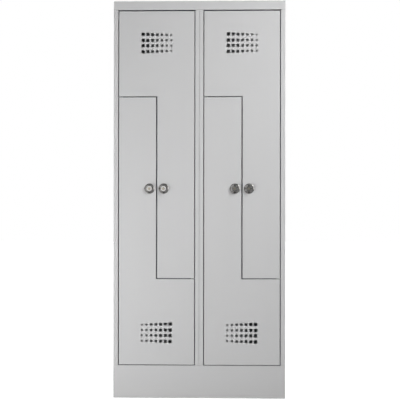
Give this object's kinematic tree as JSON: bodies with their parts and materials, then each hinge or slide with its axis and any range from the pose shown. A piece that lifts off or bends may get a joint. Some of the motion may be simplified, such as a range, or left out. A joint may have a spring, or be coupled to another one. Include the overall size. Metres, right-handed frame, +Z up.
{
  "type": "z locker",
  "caption": "Free-standing steel locker with interlocking L-shaped doors on pivot pins, fields of square vent holes, turning locks and a plinth.",
  "frame": {"origin": "on the floor, below the middle of the whole locker with its knobs", "axes": "+X across the front to the right as seen from the front, +Y towards the back, +Z up; the doors face -Y"},
  "size_m": [0.8, 0.5224, 1.85],
  "materials": {
    "powder_coat": "semi-matt light grey powder coat",
    "zinc_plate": "zinc plated",
    "polished_nickel": "polished nickel plate",
    "nickel_brass": "nickel plated",
    "black_rubber": "matt"
  },
  "bodies": {
    "carcass": {"back_panel": "powder_coat", "floor_panel": "powder_coat", "left_center_wall": "powder_coat", "right_center_wall": "powder_coat", "left_side_panel": "powder_coat", "right_side_panel": "powder_coat", "plinth_panel": "powder_coat", "roof_panel": "powder_coat", "left_z_divider": "powder_coat", "right_z_divider": "powder_coat", "left_z_stop_frame": "powder_coat", "right_z_stop_frame": "powder_coat", "left_upper_pivot_bracket": "zinc_plate", "left_upper_coat_rail": "zinc_plate", "left_upper_door_bumper": "black_rubber", "left_lower_pivot_bracket": "zinc_plate", "left_lower_coat_rail": "zinc_plate", "left_lower_door_bumper": "black_rubber", "right_upper_pivot_bracket": "zinc_plate", "right_upper_coat_rail": "zinc_plate", "right_upper_door_bumper": "black_rubber", "right_lower_pivot_bracket": "zinc_plate", "right_lower_coat_rail": "zinc_plate", "right_lower_door_bumper": "black_rubber"},
    "left_upper_door": {"left_upper_door_panel": "powder_coat", "left_upper_door_stiffener": "powder_coat", "left_upper_top_pivot_pin": "zinc_plate", "left_upper_bottom_pivot_pin": "zinc_plate", "left_upper_lock_rosette": "polished_nickel", "left_upper_lock_nut": "zinc_plate"},
    "left_upper_knob": {"left_upper_lock_knob": "polished_nickel", "left_upper_lock_cam": "zinc_plate"},
    "left_upper_plug": {"left_upper_key_plug": "nickel_brass"},
    "left_lower_door": {"left_lower_door_panel": "powder_coat", "left_lower_door_stiffener": "powder_coat", "left_lower_top_pivot_pin": "zinc_plate", "left_lower_bottom_pivot_pin": "zinc_plate", "left_lower_lock_rosette": "polished_nickel", "left_lower_lock_nut": "zinc_plate"},
    "left_lower_knob": {"left_lower_lock_knob": "polished_nickel", "left_lower_lock_cam": "zinc_plate"},
    "left_lower_plug": {"left_lower_key_plug": "nickel_brass"},
    "right_upper_door": {"right_upper_door_panel": "powder_coat", "right_upper_door_stiffener": "powder_coat", "right_upper_top_pivot_pin": "zinc_plate", "right_upper_bottom_pivot_pin": "zinc_plate", "right_upper_lock_rosette": "polished_nickel", "right_upper_lock_nut": "zinc_plate"},
    "right_upper_knob": {"right_upper_lock_knob": "polished_nickel", "right_upper_lock_cam": "zinc_plate"},
    "right_upper_plug": {"right_upper_key_plug": "nickel_brass"},
    "right_lower_door": {"right_lower_door_panel": "powder_coat", "right_lower_door_stiffener": "powder_coat", "right_lower_top_pivot_pin": "zinc_plate", "right_lower_bottom_pivot_pin": "zinc_plate", "right_lower_lock_rosette": "polished_nickel", "right_lower_lock_nut": "zinc_plate"},
    "right_lower_knob": {"right_lower_lock_knob": "polished_nickel", "right_lower_lock_cam": "zinc_plate"},
    "right_lower_plug": {"right_lower_key_plug": "nickel_brass"}
  },
  "joints": [
    {"name": "left_upper_door_hinge", "type": "hinge", "parent": "carcass", "child": "left_upper_door", "pos_m": [-0.0319, -0.2328, 0.97525], "axis": [0, 0, 1], "range_deg": [0, 90]},
    {"name": "left_upper_knob_turn", "type": "hinge", "parent": "left_upper_door", "child": "left_upper_knob", "pos_m": [-0.166, -0.2388, 0.97525], "axis": [0, 1, 0], "range_deg": [0, 90]},
    {"name": "left_upper_key_turn", "type": "hinge", "parent": "left_upper_knob", "child": "left_upper_plug", "pos_m": [-0.166, -0.2388, 0.97525], "axis": [0, 1, 0], "range_deg": [0, 90]},
    {"name": "left_lower_door_hinge", "type": "hinge", "parent": "carcass", "child": "left_lower_door", "pos_m": [-0.3661, -0.2328, 0.97525], "axis": [0, 0, -1], "range_deg": [0, 110]},
    {"name": "left_lower_knob_turn", "type": "hinge", "parent": "left_lower_door", "child": "left_lower_knob", "pos_m": [-0.232, -0.2388, 0.97525], "axis": [0, -1, 0], "range_deg": [0, 90]},
    {"name": "left_lower_key_turn", "type": "hinge", "parent": "left_lower_knob", "child": "left_lower_plug", "pos_m": [-0.232, -0.2388, 0.97525], "axis": [0, -1, 0], "range_deg": [0, 90]},
    {"name": "right_upper_door_hinge", "type": "hinge", "parent": "carcass", "child": "right_upper_door", "pos_m": [0.3661, -0.2328, 0.97525], "axis": [0, 0, 1], "range_deg": [0, 110]},
    {"name": "right_upper_knob_turn", "type": "hinge", "parent": "right_upper_door", "child": "right_upper_knob", "pos_m": [0.232, -0.2388, 0.97525], "axis": [0, 1, 0], "range_deg": [0, 90]},
    {"name": "right_upper_key_turn", "type": "hinge", "parent": "right_upper_knob", "child": "right_upper_plug", "pos_m": [0.232, -0.2388, 0.97525], "axis": [0, 1, 0], "range_deg": [0, 90]},
    {"name": "right_lower_door_hinge", "type": "hinge", "parent": "carcass", "child": "right_lower_door", "pos_m": [0.0319, -0.2328, 0.97525], "axis": [0, 0, -1], "range_deg": [0, 90]},
    {"name": "right_lower_knob_turn", "type": "hinge", "parent": "right_lower_door", "child": "right_lower_knob", "pos_m": [0.166, -0.2388, 0.97525], "axis": [0, -1, 0], "range_deg": [0, 90]},
    {"name": "right_lower_key_turn", "type": "hinge", "parent": "right_lower_knob", "child": "right_lower_plug", "pos_m": [0.166, -0.2388, 0.97525], "axis": [0, -1, 0], "range_deg": [0, 90]}
  ]
}
